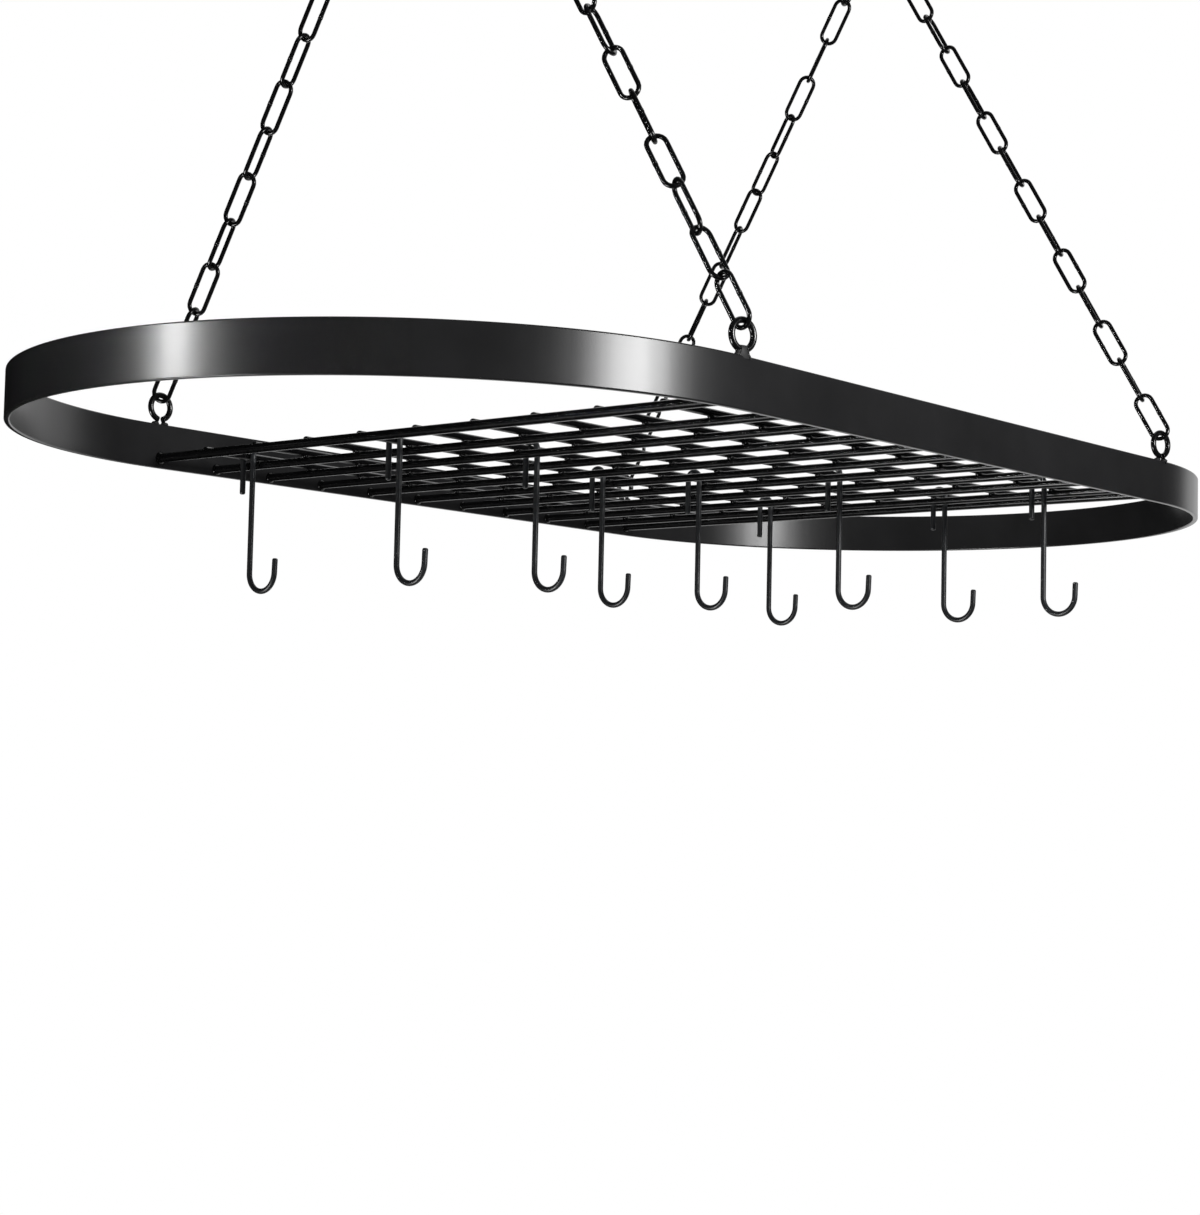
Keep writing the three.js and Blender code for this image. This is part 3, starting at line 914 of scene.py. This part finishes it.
class StageOperator(bpy.types.Operator):
    """Set up the floor, the lamps, the surround and the camera"""

    bl_idname = "pot_rack.stage"
    bl_label = "Stage"

    def execute(self, context):
        self.floor()
        self.surround()
        self.drape()
        self.lamps()
        self.camera()
        context.scene.view_settings.view_transform = "Standard"
        return {"FINISHED"}

    def floor(self):
        """A matt pale floor, a room's height below the ceiling, that runs out into the white."""
        material, tree, output = new_material("matt_pale_floor")
        place = add_node(tree, "ShaderNodeTexCoord").outputs["Object"]
        away = add_node(tree, "ShaderNodeVectorMath", {"operation": "LENGTH"}, {0: place})
        fade = add_node(
            tree,
            "ShaderNodeMapRange",
            {"From Min": FADE_FROM, "From Max": FADE_TO, "interpolation_type": "SMOOTHSTEP"},
            {"Value": away.outputs["Value"]},
        )
        matt = add_node(tree, "ShaderNodeBsdfDiffuse", {"Color": (*finishes().floor_colour, 1)})
        white = add_node(tree, "ShaderNodeEmission", {"Color": WHITE, "Strength": 1})
        mixed = add_node(
            tree,
            "ShaderNodeMixShader",
            links={0: self.seen(tree), 1: matt.outputs[0], 2: white.outputs[0]},
        )
        blend = add_node(
            tree,
            "ShaderNodeMixShader",
            links={0: fade.outputs[0], 1: matt.outputs[0], 2: mixed.outputs[0]},
        )
        tree.links.new(blend.outputs[0], output.inputs["Surface"])
        bm = bmesh.new()
        bmesh.ops.create_circle(bm, cap_ends=True, radius=FLOOR_RADIUS, segments=96)
        floor = new_object(bm, "floor", material)
        floor.location.z = FLOOR_LEVEL

    def seen(self, tree):
        """1 for what the camera, a mirror or a clear body sees, and 0 for light on a surface."""
        path = add_node(tree, "ShaderNodeLightPath").outputs
        most = add_node(
            tree,
            "ShaderNodeMath",
            {"operation": "MAXIMUM"},
            {0: path["Is Camera Ray"], 1: path["Is Glossy Ray"]},
        )
        return add_node(
            tree,
            "ShaderNodeMath",
            {"operation": "MAXIMUM"},
            {0: most.outputs[0], 1: path["Is Transmission Ray"]},
        ).outputs[0]

    def surround(self):
        """Plain white all round, at a lower strength as light on surfaces."""
        world = bpy.data.worlds.new("white_surround")
        world.use_nodes = True
        tree = world.node_tree
        tree.nodes.clear()
        lower = {"Color": WHITE, "Strength": SURROUND_STRENGTH}
        light = add_node(tree, "ShaderNodeBackground", lower)
        white = add_node(tree, "ShaderNodeBackground", {"Color": WHITE, "Strength": 1})
        mixed = add_node(
            tree,
            "ShaderNodeMixShader",
            links={0: self.seen(tree), 1: light.outputs[0], 2: white.outputs[0]},
        )
        output = add_node(tree, "ShaderNodeOutputWorld")
        tree.links.new(mixed.outputs[0], output.inputs["Surface"])
        bpy.context.scene.world = world

    def drape(self):
        """A black cloth round the studio, open only towards the white side behind the rack, that
        the lacquer mirrors. It takes no part in anything but reflections."""
        velvet, tree, output = new_material("black_velvet_drape")
        black = add_node(tree, "ShaderNodeBsdfDiffuse", {"Color": (*linear("#0d0d0d"), 1)})
        tree.links.new(black.outputs[0], output.inputs["Surface"])
        bm = bmesh.new()
        band = middle("rim_band").z
        profile = (
            (DRAPE_INNER, DRAPE_FOOT),
            (DRAPE_OUTER, DRAPE_FOOT),
            (DRAPE_OUTER, DRAPE_EAVES),
            (DRAPE_INNER, DRAPE_ROOF),
        )
        verts = [bm.verts.new((radius, 0, band + rise)) for radius, rise in profile]
        edges = [bm.edges.new(pair) for pair in zip(verts, verts[1:])]
        to_start = Matrix.Rotation(math.radians(DRAPE_FROM), 3, "Z")
        bmesh.ops.rotate(bm, verts=verts, matrix=to_start)
        reach = math.radians(DRAPE_TO - DRAPE_FROM)
        bmesh.ops.spin(bm, geom=verts + edges, cent=(0, 0, 0), axis=Z, angle=reach, steps=72)
        drape = new_object(bm, "drape", velvet)
        drape.visible_camera = False
        drape.visible_diffuse = False
        drape.visible_transmission = False
        drape.visible_shadow = False

    def lamps(self):
        """A far soft box off the rack's left end and a near one on the right, each where the
        lacquer mirrors it at the photograph's angle, and a low one that only draws the lower
        edges. The far one has a grid, so that the right end's inner face doesn't mirror it."""
        left_end = Vector((-STRAIGHT_HALF, 0, middle("rim_band").z))
        self.lamp(
            "soft_box_left",
            left_end + Vector((-0.268, -0.196, 0)),
            heading=155.5,
            rise=12,
            distance=2.6,
            size=(0.5, 0.5),
            watts=0.4,
            spread=7,
        )
        self.lamp(
            "soft_box_right",
            left_end + Vector((-0.064, -0.198, 0)),
            heading=-77,
            rise=10,
            distance=1,
            size=(0.35, 0.19),
            watts=8.5,
        )
        low = self.lamp(
            "soft_box_low",
            left_end,
            heading=157,
            rise=-38,
            distance=2.2,
            size=(0.7, 0.7),
            watts=40,
        )
        low.visible_diffuse = False

    def lamp(self, name, target, heading, rise, distance, size, watts, spread=180):
        """An area lamp that stands off the target at a heading and a rise, and whose light keeps
        within the spread of its grid, all in degrees."""
        light = bpy.data.lights.new(name, "AREA")
        light.shape = "RECTANGLE"
        light.size, light.size_y = size
        light.energy = watts
        light.spread = math.radians(spread)
        lamp = bpy.data.objects.new(name, light)
        turn, up = math.radians(heading), math.radians(rise)
        way = Vector((math.cos(turn) * math.cos(up), math.sin(turn) * math.cos(up), math.sin(up)))
        lamp.location = target + distance * way
        lamp.rotation_euler = way.to_track_quat("Z", "Y").to_euler()
        lamp.visible_camera = False
        bpy.context.scene.collection.objects.link(lamp)
        return lamp

    def camera(self):
        """The photograph's place and angle, a little below the rack and off its left end."""
        lens = bpy.data.cameras.new("camera")
        lens.sensor_width = CAMERA_SENSOR_MM
        lens.lens = CAMERA_FOCAL_MM
        camera = bpy.data.objects.new("camera", lens)
        turn = Matrix.Rotation(CAMERA_TURN, 4, "Z")
        rise = Matrix.Rotation(math.pi / 2 + CAMERA_RISE, 4, "X")
        roll = Matrix.Rotation(CAMERA_ROLL, 4, "Z")
        camera.matrix_world = Matrix.Translation(CAMERA_PLACE) @ turn @ rise @ roll
        bpy.context.scene.collection.objects.link(camera)
        bpy.context.scene.camera = camera


# ---------------------------------------------------------------- panel and registration

OPERATORS = (
    StageOperator,
    BandOperator,
    GridOperator,
    WeldsOperator,
    EyeletsOperator,
    HooksOperator,
    ChainsOperator,
    CeilingHooksOperator,
)


class PotRackPanel(bpy.types.Panel):
    """Lists the rack's pieces in the 3D view's sidebar"""

    bl_idname = "VIEW3D_PT_pot_rack"
    bl_label = "Pot Rack"
    bl_space_type = "VIEW_3D"
    bl_region_type = "UI"
    bl_category = "Pot Rack"

    def draw(self, context):
        for operator in OPERATORS:
            self.layout.operator(operator.bl_idname)
        for group in (sizes(), finishes()):
            for name in group.__annotations__:
                self.layout.prop(group, name)


CLASSES = (RackSizes, RackFinishes, *OPERATORS, PotRackPanel)


def register():
    for cls in CLASSES:
        bpy.utils.register_class(cls)
    bpy.types.Scene.pot_rack_sizes = PointerProperty(type=RackSizes)
    bpy.types.Scene.pot_rack_finishes = PointerProperty(type=RackFinishes)


def unregister():
    del bpy.types.Scene.pot_rack_finishes
    del bpy.types.Scene.pot_rack_sizes
    for cls in reversed(CLASSES):
        bpy.utils.unregister_class(cls)


def main():
    """Builds every piece in order."""
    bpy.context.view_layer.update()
    register()
    for operator in OPERATORS:
        group, name = operator.bl_idname.split(".")
        getattr(getattr(bpy.ops, group), name)()


if __name__ == "__main__":
    main()
